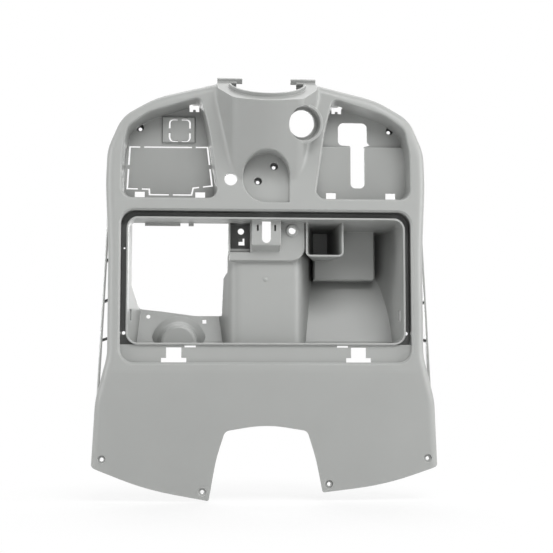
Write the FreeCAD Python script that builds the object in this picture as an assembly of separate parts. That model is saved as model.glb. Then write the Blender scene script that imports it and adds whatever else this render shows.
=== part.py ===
import FreeCAD, Part
import math
import os

# Scooter front glove box panel: one injection moulding, millimetres.
# X runs to the right as the rider sees it, Y runs away from the rider, Z is up.
# While modelling, Y = 0 is the middle of the front face and Z = 0 the outer floor screws.

# General moulding
WALL = 2.6
RIM_DEPTH = 48.0
ROLL = 11.0
ROLL_BACK = 6.0
NOSE_Z = 108.0
NOSE_RADIUS = 26.0
APRON_TILT = 8.0
DRAFT = 5.0
CUT_PAST = 12.0
FAR = 600.0

# Outline of the face: half of it, from the top middle down the right side
OUTLINE_HALF = [
    (62.0, 474.0, 60.0),
    (140.0, 455.0, 120.0),
    (183.0, 430.0, 45.0),
    (201.0, 388.0, 60.0),
    (202.5, 345.0, 300.0),
    (198.5, 260.0, 600.0),
    (198.5, 128.0, 70.0),
    (213.0, 72.0, 100.0),
]
APRON_FOOT_X = 223.0
APRON_FOOT_Z = -90.0

# Bottom edges of the two legs and the tunnel cut-out between them
LEG_OUTER_X = 218.8
LEG_OUTER_Z = -9.6
LEG_OUTER_RADIUS = 9.0
LEG_SIDE_X = 219.4
LEG_SIDE_Z = 20.0
LEG_MIDDLE_X = 150.0
RIGHT_LEG_MIDDLE_Z = -33.0
LEFT_LEG_MIDDLE_Z = -37.5
LEG_TIP_HALF = 71.5
RIGHT_LEG_TIP_Z = -42.5
LEFT_LEG_TIP_Z = -52.5
LEG_TIP_RADIUS = 2.5
TUNNEL_X = 0.0
TUNNEL_KNEE_HALF = 62.5
TUNNEL_SHOULDER_HALF = 51.5
TUNNEL_SHOULDER_Z = 34.5
TUNNEL_SHOULDER_RADIUS = 9.0
TUNNEL_TOP_Z = 42.0

# Steering column cover and its collar
RAKE = 29.0
COVER_FRONT_Y = -56.0
COVER_FRONT_Z = 438.6
COVER_FRONT_HALF = 43.0
COVER_FRONT_CROWN = 10.0
COVER_CROWN_RADIUS = 85.0
COVER_SHOULDER = 18.0
COVER_BACK_HALF = 63.0
COVER_FLANK_DEPTH = 52.0
COVER_RUN = 34.0
COVER_DEPTH = COVER_FLANK_DEPTH + COVER_RUN
COVER_LENGTH = 190.0
COVER_FILLET = 7.0
COVER_BACK_Y = 40.0
COVER_LOW_Z = 250.0
COVER_BLEND_TOP_Z = 455.0
COLLAR_HALF = 49.0
COLLAR_LEDGE = 13.0
COLLAR_LIP = 5.0
COLLAR_LIP_WALL = 2.2
COLLAR_LIP_END = 58.0
COLLAR_CUT = 8.0
COLLAR_NOTCH_HALF = 38.5
COLLAR_NOTCH_FRONT = 60.0
COLLAR_NOTCH_DEPTH = 34.0
ARM_GAP_HALF = 31.0
ARM_WALL = 4.0
ARM_HEIGHT = 4.0

# Lock funnel on the right shoulder of the cover
LOCK_X = 45.0
LOCK_Y = -22.0
LOCK_Z = 417.5
LOCK_YAW = 10.0
LOCK_PITCH = 10.0
LOCK_MOUTH_R = 22.0
LOCK_BORE_R = 17.0
LOCK_FUNNEL_DEPTH = 12.0
LOCK_BORE_LENGTH = 5.0
LOCK_FLARE = 1.5
LOCK_RELIEF = 3.0
LOCK_REACH = 30.0
LOCK_RIM = 2.6

# Round accessory hole left of the hook recess
ROUND_HOLE_X = -45.7
ROUND_HOLE_Z = 350.0
ROUND_HOLE_R = 8.0
ROUND_HOLE_DEPTH = 9.0

# Hook recess at the foot of the cover
HOOK_LEFT_X = -30.5
HOOK_RIGHT_X = 28.5
HOOK_BOTTOM_Z = 321.5
HOOK_TOP_Z = 384.0
HOOK_RADIUS = 29.4
HOOK_FLOOR_Y = 5.0
HOOK_MOUTH = 1.2
HOOK_SCREW_LOW_X = -11.2
HOOK_SCREW_HIGH_X = 9.2
HOOK_SCREW_LOW_Z = 348.4
HOOK_SCREW_HIGH_Z = 367.6

# Self-tapping screw bosses
SCREW_HOLE_R = 2.4
SCREW_PIT_R = 5.0
SCREW_BOSS_R = 7.4
SCREW_PIT_DEPTH = 10.0

# Upper recesses, the right one; the left one is its mirror
RECESS_HALF = [
    (60.5, 326.0, 12.0),
    (183.0, 326.0, 14.0),
    (182.0, 385.0, 50.0),
    (175.5, 416.0, 18.0),
    (150.0, 434.5, 60.0),
    (84.0, 454.5, 7.0),
    (73.5, 417.0, 200.0),
]
RECESS_FLOOR_Y = 33.0
RECESS_MOUTH = 1.4
RIGHT_STEP_Z = 398.0
RIGHT_STEP = 5.0
UPPER_SCREW_X = 161.5
UPPER_SCREW_Z = 421.0
CLIP_HOLE_WIDTH = 12.5
CLIP_HOLE_HEIGHT = 8.6
CLIP_HOLE_INNER_X = 84.0
CLIP_HOLE_OUTER_X = 161.0
CLIP_HOLE_LOW_Z = 329.6
CLIP_HOLE_TOP_X = 92.0
CLIP_HOLE_TOP_Z = 442.5

# Knock-outs in the left recess: slots with bridges between them
KNOCK_RING = [
    (-174.0, 396.0, 0.0),
    (-177.0, 342.0, 0.0),
    (-149.0, 341.5, 0.0),
    (-148.5, 334.5, 0.0),
    (-95.0, 334.5, 0.0),
    (-93.0, 343.5, 0.0),
    (-69.0, 346.5, 0.0),
    (-75.0, 396.5, 0.0),
]
KNOCK_BRIDGES = [
    (-158.5, 396.0), (-92.5, 396.5), (-71.8, 371.0), (-83.0, 344.8),
    (-121.5, 334.5), (-161.0, 341.5), (-175.5, 370.0),
]
KNOCK_SLOT = 2.0
KNOCK_BRIDGE = 5.0
SMALL_KNOCK_X = -110.5
SMALL_KNOCK_Z = 417.5
SMALL_KNOCK_WIDTH = 26.0
SMALL_KNOCK_HEIGHT = 28.0
SMALL_KNOCK_RADIUS = 5.0
PAD_LEFT_X = -134.0
PAD_RIGHT_X = -90.0
PAD_LOW_Z = 400.5
PAD_HIGH_Z = 436.0
PAD_HEIGHT = 3.5

# Paddle-shaped opening in the right recess
PADDLE_RING = [
    (94.0, 431.0, 8.0),
    (94.0, 401.5, 6.0),
    (109.6, 400.5, 0.0),
    (109.6, 344.5, 6.0),
    (127.6, 344.5, 6.0),
    (127.6, 399.5, 0.0),
    (135.0, 401.5, 0.0),
    (131.6, 406.0, 0.0),
    (131.6, 431.0, 7.0),
]

# Main opening: outer recess with rain gutter, lip and tub
FRAME_HALF_X = 182.5
FRAME_BOTTOM_Z = 119.5
FRAME_TOP_Z = 310.0
FRAME_RADIUS = 17.0
GUTTER_DEPTH = 22.0
FRAME_MOUTH = 2.4
SILL_DEPTH = 7.0
LIP_HALF_X = 175.5
LIP_BOTTOM_Z = 142.0
LIP_TOP_Z = 302.5
LIP_RADIUS = 15.0
LIP_SET_BACK = 4.0
LIP_WALL = 2.2
TUB_DEPTH = 118.0
TUB_RIGHT_TAPER = 12.0
TUB_RIGHT_CURVE = 55.0
TUB_LEFT_TAPER = 20.0
TUB_ROOF_FALL = 9.0
TUB_FLOOR_Y = 62.0
TUB_FLOOR_SLOPE = 66.0
TUB_FLOOR_CURVE = 40.0
TUB_WALL_Y = 18.0
TUB_ROOF_CURVE = 8.0
LEFT_TUB_DEPTH = 90.0

# Openings in the gutter, the lip and the sill
DRAIN_X = (LIP_HALF_X + FRAME_HALF_X) / 2.0
DRAIN_LOW_Z = 157.0
DRAIN_R = 2.2
DRAIN_HIGH_Z = 264.0
DRAIN_HIGH_R = 1.2
SIDE_SLIT_Y = 27.0
SIDE_SLIT_WIDTH = 9.0
SIDE_SLIT_LOW_Z = 173.0
SIDE_SLIT_HIGH_Z = 187.0
SILL_SLIT_X = 95.5
SILL_SLIT_HALF = 7.0
SILL_SLIT_LOW_Z = 138.6
SILL_SLIT_HIGH_Z = 140.8
TEE_X = 115.8
TEE_STEM_HALF = 9.4
TEE_BAR_HALF = 15.6
TEE_TOP_Z = 138.5
TEE_BAR_TOP_Z = 125.5
TEE_LOW_Z = 120.0

# Dome over the horn and small holes in the left floor
DOME_X = -110.5
DOME_Z = 145.0
DOME_R = 23.5
DOME_FLARE = 12.0
DOME_Y = 44.0
DOME_EASE = 4.0
DOME_FLARE_DEPTH = 13.0
DOME_FOOT_Y = 66.0
FLOOR_HOLE_X = -150.5
FLOOR_HOLE_Z = 180.5
FLOOR_HOLE_R = 2.6
FLOOR_SQUARE_X = -77.5
FLOOR_SQUARE_Z = 174.0
FLOOR_SQUARE = 5.0
ROOF_TAB_LOW_Z = 294.0
ROOF_TAB_Y = 44.0
ROOF_TAB_WALL = 2.4
ROOF_TABS = [(-154.0, -109.0), (-98.5, -92.0)]

# Column hump in the middle of the tub
HUMP_X = 0.0
HUMP_Y = 30.0
HUMP_HALF = 44.0
HUMP_CORNER = 18.0
HUMP_SPREAD = 0.3

# Latch plate, latch block and clip recess at the top of the hump
PLATE_LEFT_X = -46.7
PLATE_RIGHT_X = 50.3
PLATE_BOTTOM_Z = 249.0
PLATE_RADIUS = 19.0
PLATE_Y = 24.0
PLATE_DEPTH = 36.0
PLATE_EASE = 1.2
BLOCK_HALF = 18.5
BLOCK_Y = 12.0
BLOCK_BOTTOM_Z = 268.0
BLOCK_CHAMFER = 7.0
STRIKER_HALF = 5.5
STRIKER_LOW_Z = 276.5
BLOCK_SLOT_X = 11.0
BLOCK_SLOT_WIDTH = 2.6
BLOCK_SLOT_LOW_Z = 286.0
BLOCK_SLOT_HIGH_Z = 294.0
BLOCK_SLOT_DEPTH = 7.0
PLATE_BOSS_X = 33.5
PLATE_BOSS_Z = 288.0
PLATE_BOSS_R = 7.6
PLATE_BOSS_HOLE_R = 4.5
PLATE_BOSS_HEIGHT = 1.6
CLIP_LEFT_X = -45.5
CLIP_RIGHT_X = -20.0
CLIP_BOTTOM_Z = 260.0
CLIP_TOP_Z = 298.0
CLIP_Y = 52.0
CLIP_HOLE_X = -31.0
CLIP_HOLE_Z = 290.0
CLIP_HOLE_R = 4.0
CLIP_SLOT_LEFT_X = -34.0
CLIP_SLOT_RIGHT_X = -26.5
CLIP_SLOT_LOW_Z = 272.0
CLIP_SLOT_HIGH_Z = 281.0

# Raised box on the back wall of the bin, and the square pocket
BOX_Y = 80.0
BOX_LEFT_X = 66.0
BOX_RIGHT_X = 148.0
BOX_BOTTOM_Z = 229.0
BOX_RADIUS = 4.0
BOX_EASE = 2.0
POCKET_Y = 22.0
POCKET_LEFT_X = 50.8
POCKET_RIGHT_X = 99.3
POCKET_BOTTOM_Z = 255.0
POCKET_RADIUS = 6.0
POCKET_DEPTH = 98.0
POCKET_TAPER_LEFT = 14.5
POCKET_TAPER_RIGHT = 11.0
POCKET_WALL = 2.2

# Way through the left side of the tub
WAY_RING = [
    (-172.8, 299.5, 0.0),
    (-172.8, 227.0, 40.0),
    (-162.5, 190.5, 6.0),
    (-133.5, 187.5, 30.0),
    (-89.5, 181.5, 60.0),
    (-55.0, 181.5, 0.0),
    (-53.0, 229.5, 0.0),
    (-48.5, 236.5, 0.0),
    (-48.0, 299.5, 0.0),
]
WAY_FRONT_Y = 34.0
ROOF_LEFT_Y = 36.0
ROOF_RIGHT_Y = 72.0
ROOF_CUT_LEFT_X = -172.8
ROOF_CUT_RIGHT_X = -48.0
LEFT_TUB_RIGHT_X = -60.0

# Rear side flanges
FLANGE_TOP_X = 198.0
FLANGE_TOP_Z = 305.0
FLANGE_FOOT_X = 209.0
FLANGE_FOOT_Z = 68.0
FLANGE_WALL = 2.4
FLANGE_DEPTH = 24.0
FLANGE_FLARE = 3.0
FLANGE_RIBS = [249.0, 197.0, 148.0]
FLANGE_RIB_WALL = 3.0
FLANGE_RIB_RISE = 4.0
FLANGE_RIB_DEPTH = 14.0
FLANGE_RIB_ROOT_X = 196.5

# Floor screws of the two legs
OUTER_SCREW_X = 204.0
OUTER_SCREW_Z = 0.0
OUTER_SEAT_Y = 17.5
LEFT_INNER_SCREW_X = -79.5
LEFT_INNER_SCREW_Z = -41.0
RIGHT_INNER_SCREW_X = 79.5
RIGHT_INNER_SCREW_Z = -32.0
INNER_SEAT_Y = 22.5
FLOOR_SEAT_R = 5.0
FLOOR_BOSS_R = 7.4
FLOOR_BOSS_DEPTH = 5.0


def vec(x, y, z):
    return FreeCAD.Vector(x, y, z)


def mirrored(half):
    """Full ring of corners from its right half, listed from the top down."""
    return list(half) + [(-x, z, r) for x, z, r in reversed(half)]


def flipped(corners):
    return [(-x, z, r) for x, z, r in reversed(corners)]


def signed_area(corners):
    total = 0.0
    for i, (u, v, _) in enumerate(corners):
        u0, v0, _ = corners[i - 1]
        total += u0 * v - u * v0
    return total / 2.0


def grown(corners, distance):
    """The ring of corners moved outward by a distance; radii follow."""
    sign = 1.0 if signed_area(corners) > 0.0 else -1.0
    count = len(corners)
    result = []
    for i in range(count):
        u0, v0, _ = corners[i - 1]
        u1, v1, radius = corners[i]
        u2, v2, _ = corners[(i + 1) % count]
        a = vec(u1 - u0, v1 - v0, 0).normalize()
        b = vec(u2 - u1, v2 - v1, 0).normalize()
        na = vec(a.y * sign, -a.x * sign, 0)
        nb = vec(b.y * sign, -b.x * sign, 0)
        turn = (a.x * b.y - a.y * b.x) * sign
        bisector = na + nb
        reach = distance / (1.0 + na.dot(nb))
        new_radius = radius
        if radius > 0.0:
            new_radius = max(radius + distance * (1.0 if turn > 0.0 else -1.0), 0.4)
        result.append((u1 + bisector.x * reach, v1 + bisector.y * reach, new_radius))
    return result


def rounded_wire(corners, place):
    """Closed wire through (u, v, radius) corners; place turns (u, v) into a point."""
    count = len(corners)
    spans = []
    for i in range(count):
        u0, v0, _ = corners[i - 1]
        u1, v1, radius = corners[i]
        u2, v2, _ = corners[(i + 1) % count]
        corner = vec(u1, v1, 0)
        a = (vec(u0, v0, 0) - corner).normalize()
        b = (vec(u2, v2, 0) - corner).normalize()
        half = a.getAngle(b) / 2.0
        if radius <= 0.0 or half > math.pi / 2.0 - 1e-5:
            spans.append((corner, None, corner))
            continue
        bisector = (a + b).normalize()
        length = radius / math.tan(half)
        middle = corner + bisector * (radius / math.sin(half) - radius)
        spans.append((corner + a * length, middle, corner + b * length))
    edges = []
    for i in range(count):
        start, middle, end = spans[i]
        if middle is not None:
            points = [place(p.x, p.y) for p in (start, middle, end)]
            edges.append(Part.Arc(points[0], points[1], points[2]).toShape())
        following = spans[(i + 1) % count][0]
        if (following - end).Length > 1e-6:
            edges.append(Part.makeLine(place(end.x, end.y), place(following.x, following.y)))
    return Part.Wire(edges)


def prism_y(corners, y0, y1):
    wire = rounded_wire(corners, lambda u, v: vec(u, y0, v))
    return Part.Face(wire).extrude(vec(0, y1 - y0, 0))


def prism_x(corners, x0, x1):
    wire = rounded_wire(corners, lambda u, v: vec(x0, u, v))
    return Part.Face(wire).extrude(vec(x1 - x0, 0, 0))


def prism_z(corners, z0, z1):
    wire = rounded_wire(corners, lambda u, v: vec(u, v, z0))
    return Part.Face(wire).extrude(vec(0, 0, z1 - z0))


def drafted_y(corners, y0, grow0, y1, grow1):
    """Tapered prism between two depths."""
    first = rounded_wire(grown(corners, grow0), lambda u, v: vec(u, y0, v))
    last = rounded_wire(grown(corners, grow1), lambda u, v: vec(u, y1, v))
    return Part.makeLoft([first, last], True, True)


def box(x0, x1, y0, y1, z0, z1):
    return Part.makeBox(x1 - x0, y1 - y0, z1 - z0, vec(x0, y0, z0))


def face_form(offset):
    """Everything behind the front surface, set back by an offset."""
    tilt = math.radians(APRON_TILT)
    run = offset * (1.0 - math.cos(tilt)) / math.sin(tilt)
    bend_z = NOSE_Z + offset * math.sin(tilt) - run * math.cos(tilt)
    foot_y = offset + (bend_z + FAR) * math.tan(tilt)
    profile = [
        (offset, FAR, 0.0),
        (offset, bend_z, max(NOSE_RADIUS - offset, WALL)),
        (foot_y, -FAR, 0.0),
        (FAR, -FAR, 0.0),
        (FAR, FAR, 0.0),
    ]
    return prism_x(profile, -FAR, FAR)


def outline_ring(inset):
    ring = mirrored(OUTLINE_HALF + [(APRON_FOOT_X, APRON_FOOT_Z, 0.0)])
    return grown(ring, -inset) if inset else ring


def rolled_body(inset, back_y, foot_drop):
    """The filled front form with its rolled edge."""
    ring = outline_ring(inset)
    ring = [(x, z - foot_drop if z < APRON_FOOT_Z + 10.0 else z, r) for x, z, r in ring]
    body = prism_y(ring, -30.0, back_y).common(face_form(inset))
    border = rounded_wire(ring, lambda u, v: vec(u, 0, v))
    low = min(z for _, z, _ in ring)
    chosen = []
    for edge in body.Edges:
        first = edge.valueAt(edge.FirstParameter)
        last = edge.valueAt(edge.LastParameter)
        middle = edge.valueAt((edge.FirstParameter + edge.LastParameter) / 2.0)
        if middle.y > back_y - 0.01 or middle.z < low + 0.01:
            continue
        if math.hypot(first.x - last.x, first.z - last.z) < 1e-4:
            continue
        gap = Part.Vertex(middle.x, 0, middle.z).distToShape(border)[0]
        if gap < 0.01:
            chosen.append(edge)
    if inset:
        return body.makeChamfer(ROLL_BACK, chosen)
    return body.makeFillet(ROLL, chosen)


def cover_point(x, w, s):
    """Point of the raked column cover: across, into the panel, down the rake."""
    rake = math.radians(RAKE)
    y = COVER_FRONT_Y + w * math.cos(rake) + s * math.sin(rake)
    z = COVER_FRONT_Z + w * math.sin(rake) - s * math.cos(rake)
    return vec(x, y, z)


def cover_ring(inset):
    half = [
        (COVER_BACK_HALF, COVER_DEPTH, 0.0),
        (COVER_BACK_HALF, COVER_FLANK_DEPTH, 12.0),
        (COVER_FRONT_HALF, COVER_FRONT_CROWN - 1.5, COVER_SHOULDER),
    ]
    ring = half + [(0.0, -2.5, COVER_CROWN_RADIUS)] + [(-x, w, r) for x, w, r in reversed(half)]
    return grown(ring, -inset) if inset else ring


def cover_prism(ring, s0, s1):
    wire = rounded_wire(ring, lambda u, v: cover_point(u, v, s0))
    travel = cover_point(0, 0, s1) - cover_point(0, 0, s0)
    return Part.Face(wire).extrude(travel)


def eased_front(body, y, radius):
    """Break the edges of a body's flat front at one depth."""
    rim = [e for e in body.Edges if abs(e.BoundBox.YMin - y) < 1e-4 and e.BoundBox.YLength < 1e-4]
    return body.makeChamfer(radius, rim)


def tub_side(grow):
    """Side profile of the tub (Y, Z): level sill, sloping floor, curved back, roof."""
    floor_z = LIP_BOTTOM_Z + LIP_WALL
    roof_z = LIP_TOP_Z - LIP_WALL
    rise = (TUB_DEPTH - TUB_FLOOR_Y) * math.tan(math.radians(TUB_FLOOR_SLOPE))
    ring = [
        (-TUB_DEPTH, floor_z, 0.0),
        (TUB_FLOOR_Y, floor_z, TUB_ROOF_CURVE),
        (TUB_DEPTH, floor_z + rise, TUB_FLOOR_CURVE),
        (TUB_DEPTH, roof_z - TUB_ROOF_FALL, TUB_ROOF_CURVE),
        (0.0, roof_z, 0.0),
        (-TUB_DEPTH, roof_z, 0.0),
    ]
    return prism_x(grown(ring, grow), -FAR, FAR)


def roof_fall(y):
    """How far the tub's roof has come down at a depth."""
    return TUB_ROOF_FALL * y / TUB_DEPTH


def tub_plan(grow):
    """Plan of the tub (X, Y)."""
    half = LIP_HALF_X - LIP_WALL
    ring = [
        (-half, -TUB_DEPTH, 0.0),
        (half, -TUB_DEPTH, 0.0),
        (half, TUB_WALL_Y, 0.0),
        (half - TUB_RIGHT_TAPER, TUB_DEPTH, TUB_RIGHT_CURVE),
        (-half + TUB_LEFT_TAPER, TUB_DEPTH, 0.0),
        (-half, TUB_WALL_Y, 0.0),
    ]
    return prism_z(grown(ring, grow), -FAR, FAR)


def hump(inset):
    spread = HUMP_SPREAD * TUB_DEPTH
    ring = [
        (HUMP_X - HUMP_HALF, HUMP_Y, HUMP_CORNER),
        (HUMP_X + HUMP_HALF, HUMP_Y, HUMP_CORNER),
        (HUMP_X + HUMP_HALF + spread, HUMP_Y + TUB_DEPTH, 0.0),
        (HUMP_X - HUMP_HALF - spread, HUMP_Y + TUB_DEPTH, 0.0),
    ]
    return prism_z(grown(ring, -inset), 0.0, FAR)


def plate(inset):
    ring = [
        (PLATE_LEFT_X, PLATE_BOTTOM_Z, 3.0),
        (PLATE_RIGHT_X, PLATE_BOTTOM_Z, PLATE_RADIUS),
        (PLATE_RIGHT_X, FAR, 0.0),
        (PLATE_LEFT_X, FAR, 0.0),
    ]
    body = prism_y(grown(ring, -inset), PLATE_Y + inset, PLATE_Y + PLATE_DEPTH + inset)
    return eased_front(body, PLATE_Y, PLATE_EASE) if inset == 0.0 else body


def block(inset):
    ring = [
        (BLOCK_Y, BLOCK_BOTTOM_Z, 2.5),
        (PLATE_Y + CUT_PAST, BLOCK_BOTTOM_Z - BLOCK_CHAMFER * 2.0, 0.0),
        (PLATE_Y + CUT_PAST, FAR, 0.0),
        (BLOCK_Y, FAR, 0.0),
    ]
    body = prism_x(grown(ring, -inset), -BLOCK_HALF + inset, BLOCK_HALF - inset)
    return eased_front(body, BLOCK_Y, PLATE_EASE) if inset == 0.0 else body


def clip_recess(grow):
    ring = [
        (CLIP_LEFT_X, CLIP_BOTTOM_Z, 0.0),
        (CLIP_RIGHT_X, CLIP_BOTTOM_Z, 0.0),
        (CLIP_RIGHT_X, CLIP_TOP_Z, 0.0),
        (CLIP_LEFT_X, CLIP_TOP_Z, 0.0),
    ]
    front_y = PLATE_Y if grow else PLATE_Y - CUT_PAST
    return prism_y(grown(ring, grow), front_y, CLIP_Y + grow)


def bin_box(inset):
    ring = [
        (BOX_LEFT_X, BOX_BOTTOM_Z, 0.0),
        (BOX_RIGHT_X, BOX_BOTTOM_Z, BOX_RADIUS),
        (BOX_RIGHT_X, FAR, 0.0),
        (BOX_LEFT_X, FAR, 0.0),
    ]
    body = prism_y(grown(ring, -inset), BOX_Y + inset, TUB_DEPTH + CUT_PAST)
    return eased_front(body, BOX_Y, BOX_EASE) if inset == 0.0 else body


def pocket(grow, front_y, back_y):
    """Tapered square pocket; its roof is the roof of the tub."""
    rings = []
    for y in (front_y, back_y):
        share = (y - POCKET_Y) / (POCKET_DEPTH - POCKET_Y)
        left = POCKET_LEFT_X + POCKET_TAPER_LEFT * share
        right = POCKET_RIGHT_X - POCKET_TAPER_RIGHT * share
        top = LIP_TOP_Z - roof_fall(y)
        ring = [
            (left, POCKET_BOTTOM_Z, POCKET_RADIUS),
            (right, POCKET_BOTTOM_Z, POCKET_RADIUS),
            (right, top, 0.0),
            (left, top, 0.0),
        ]
        ring = grown(ring, grow)
        rings.append(rounded_wire(ring, lambda u, v, y=y: vec(u, y, v)))
    return Part.makeLoft(rings, True, True)


def recess_ring(side):
    return RECESS_HALF if side > 0 else flipped(RECESS_HALF)


def recess(side, grow):
    """Drafted cavity of an upper recess; a positive grow gives its outside."""
    slope = math.tan(math.radians(DRAFT))
    floor_y = RECESS_FLOOR_Y + grow
    front_y = 0.0 if grow else -CUT_PAST
    body = drafted_y(recess_ring(side), front_y, grow - front_y * slope, floor_y, grow - floor_y * slope)
    if side > 0:
        body = body.cut(box(0.0, FAR, floor_y - RIGHT_STEP, FAR, 0.0, RIGHT_STEP_Z))
    return body


def frame_ring():
    return [
        (-FRAME_HALF_X, FRAME_BOTTOM_Z, FRAME_RADIUS),
        (FRAME_HALF_X, FRAME_BOTTOM_Z, FRAME_RADIUS),
        (FRAME_HALF_X, FRAME_TOP_Z, FRAME_RADIUS),
        (-FRAME_HALF_X, FRAME_TOP_Z, FRAME_RADIUS),
    ]


def lip_ring():
    return [
        (-LIP_HALF_X, LIP_BOTTOM_Z, LIP_RADIUS),
        (LIP_HALF_X, LIP_BOTTOM_Z, LIP_RADIUS),
        (LIP_HALF_X, LIP_TOP_Z, LIP_RADIUS),
        (-LIP_HALF_X, LIP_TOP_Z, LIP_RADIUS),
    ]


def frame_recess(grow):
    prism = prism_y(grown(frame_ring(), grow) if grow else frame_ring(), -CUT_PAST, RIM_DEPTH)
    upper = box(-FAR, FAR, -FAR, FAR, LIP_BOTTOM_Z, FAR)
    gutter = prism.common(upper).cut(face_form(GUTTER_DEPTH + grow))
    sill = prism.cut(upper).cut(face_form(SILL_DEPTH + grow))
    return gutter.fuse(sill)


def along_y(x, z, radius, y0, y1):
    return Part.makeCylinder(radius, y1 - y0, vec(x, y0, z), vec(0, 1, 0))


def boss(x, z, radius, y0, y1):
    """Eight-sided boss on the hidden side, wide enough to hold a circle of that radius."""
    reach = radius / math.cos(math.radians(22.5))
    angles = [math.radians(22.5 + 45.0 * i) for i in range(8)]
    ring = [(x + reach * math.cos(a), z + reach * math.sin(a), 0.0) for a in angles]
    return prism_y(ring, y0, y1)


def lock_axis():
    yaw = math.radians(LOCK_YAW)
    pitch = math.radians(LOCK_PITCH)
    return vec(math.sin(yaw) * math.cos(pitch), -math.cos(yaw) * math.cos(pitch), -math.sin(pitch))


def trim_tool():
    """Everything below the legs and inside the tunnel cut-out."""
    tip_r = TUNNEL_X + LEG_TIP_HALF
    tip_l = TUNNEL_X - LEG_TIP_HALF
    ring = [
        (FAR, -FAR, 0.0),
        (FAR, LEG_SIDE_Z, 0.0),
        (LEG_SIDE_X, LEG_SIDE_Z, 0.0),
        (LEG_OUTER_X, LEG_OUTER_Z, LEG_OUTER_RADIUS),
        (LEG_MIDDLE_X, RIGHT_LEG_MIDDLE_Z, 350.0),
        (tip_r, RIGHT_LEG_TIP_Z, LEG_TIP_RADIUS),
        (TUNNEL_X + TUNNEL_KNEE_HALF, 0.0, 200.0),
        (TUNNEL_X + TUNNEL_SHOULDER_HALF, TUNNEL_SHOULDER_Z, TUNNEL_SHOULDER_RADIUS),
        (TUNNEL_X, TUNNEL_TOP_Z + 1.0, 150.0),
        (TUNNEL_X - TUNNEL_SHOULDER_HALF, TUNNEL_SHOULDER_Z, TUNNEL_SHOULDER_RADIUS),
        (TUNNEL_X - TUNNEL_KNEE_HALF, 0.0, 200.0),
        (tip_l, LEFT_LEG_TIP_Z, LEG_TIP_RADIUS),
        (-LEG_MIDDLE_X, LEFT_LEG_MIDDLE_Z, 350.0),
        (-LEG_OUTER_X, LEG_OUTER_Z, LEG_OUTER_RADIUS),
        (-LEG_SIDE_X, LEG_SIDE_Z, 0.0),
        (-FAR, LEG_SIDE_Z, 0.0),
        (-FAR, -FAR, 0.0),
    ]
    return prism_y(ring, -FAR, FAR)


def near_edges(shape, tool_faces_of, other_faces_of, zlow):
    """Edges of a fused shape that lie on both of two source shapes."""
    chosen = []
    for edge in shape.Edges:
        middle = edge.valueAt((edge.FirstParameter + edge.LastParameter) / 2.0)
        if middle.z < zlow:
            continue
        point = Part.Vertex(middle)
        if point.distToShape(tool_faces_of)[0] < 0.01 and point.distToShape(other_faces_of)[0] < 0.01:
            chosen.append(edge)
    return chosen


def knock_slots(ring, bridges, width):
    """Closed slot along a ring of corners, interrupted by bridges."""
    low = RECESS_FLOOR_Y - CUT_PAST
    high = RECESS_FLOOR_Y + CUT_PAST
    band = prism_y(grown(ring, width / 2.0), low, high).cut(prism_y(grown(ring, -width / 2.0), low, high))
    half = KNOCK_BRIDGE / 2.0
    return band.cut([box(x - half, x + half, low, high, z - half, z + half) for x, z in bridges])


def square_ring(x, z, width, height, radius):
    return [
        (x - width / 2.0, z - height / 2.0, radius),
        (x + width / 2.0, z - height / 2.0, radius),
        (x + width / 2.0, z + height / 2.0, radius),
        (x - width / 2.0, z + height / 2.0, radius),
    ]


def dome(inset):
    """Round drum in the left floor with an eased front and a wide flare at its foot, axis along Y."""
    radius = DOME_R - inset
    front_y = DOME_Y + inset
    foot_y = DOME_FOOT_Y + inset
    back_y = LEFT_TUB_DEPTH + CUT_PAST
    profile = [
        vec(0, front_y, 0),
        vec(radius - DOME_EASE, front_y + DOME_EASE * 0.1, 0),
        vec(radius - DOME_EASE * 0.3, front_y + DOME_EASE * 0.4, 0),
        vec(radius, front_y + DOME_EASE, 0),
        vec(radius + DOME_FLARE * 0.1, foot_y - DOME_FLARE_DEPTH, 0),
        vec(radius + DOME_FLARE * 0.4, foot_y - DOME_FLARE_DEPTH * 0.5, 0),
        vec(radius + DOME_FLARE, foot_y, 0),
        vec(radius + DOME_FLARE, back_y, 0),
        vec(0, back_y, 0),
    ]
    turned = Part.Face(Part.makePolygon(profile + profile[:1])).revolve(vec(0, 0, 0), vec(0, 1, 0), 360)
    return turned.translated(vec(DOME_X, 0, DOME_Z))


def flange(side):
    """Flared strip behind the side of the face, with slanted ribs."""
    wires = []
    back = RIM_DEPTH
    for x, z in ((FLANGE_TOP_X, FLANGE_TOP_Z), (FLANGE_FOOT_X, FLANGE_FOOT_Z)):
        corners = [
            (x, back - FLANGE_DEPTH),
            (x + FLANGE_WALL, back - FLANGE_DEPTH),
            (x + FLANGE_WALL + FLANGE_FLARE, back),
            (x + FLANGE_FLARE, back),
        ]
        points = [vec(u * side, v, z) for u, v in corners]
        wires.append(Part.makePolygon(points + [points[0]]))
    strip = Part.makeLoft(wires, True, True)
    ribs = []
    for z in FLANGE_RIBS:
        share = (FLANGE_TOP_Z - z) / (FLANGE_TOP_Z - FLANGE_FOOT_Z)
        x = FLANGE_TOP_X + (FLANGE_FOOT_X - FLANGE_TOP_X) * share
        low = z - FLANGE_RIB_WALL / 2.0
        outer_x = x + FLANGE_WALL
        ring = [
            (FLANGE_RIB_ROOT_X, low + FLANGE_RIB_RISE),
            (outer_x, low),
            (outer_x, low + FLANGE_RIB_WALL),
            (FLANGE_RIB_ROOT_X, low + FLANGE_RIB_RISE + FLANGE_RIB_WALL),
        ]
        points = [vec(u * side, back - FLANGE_RIB_DEPTH, v) for u, v in ring]
        face = Part.Face(Part.makePolygon(points + [points[0]]))
        ribs.append(face.extrude(vec(0, FLANGE_RIB_DEPTH, 0)))
    return strip.fuse(ribs)


os.makedirs("parts", exist_ok=True)

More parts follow.
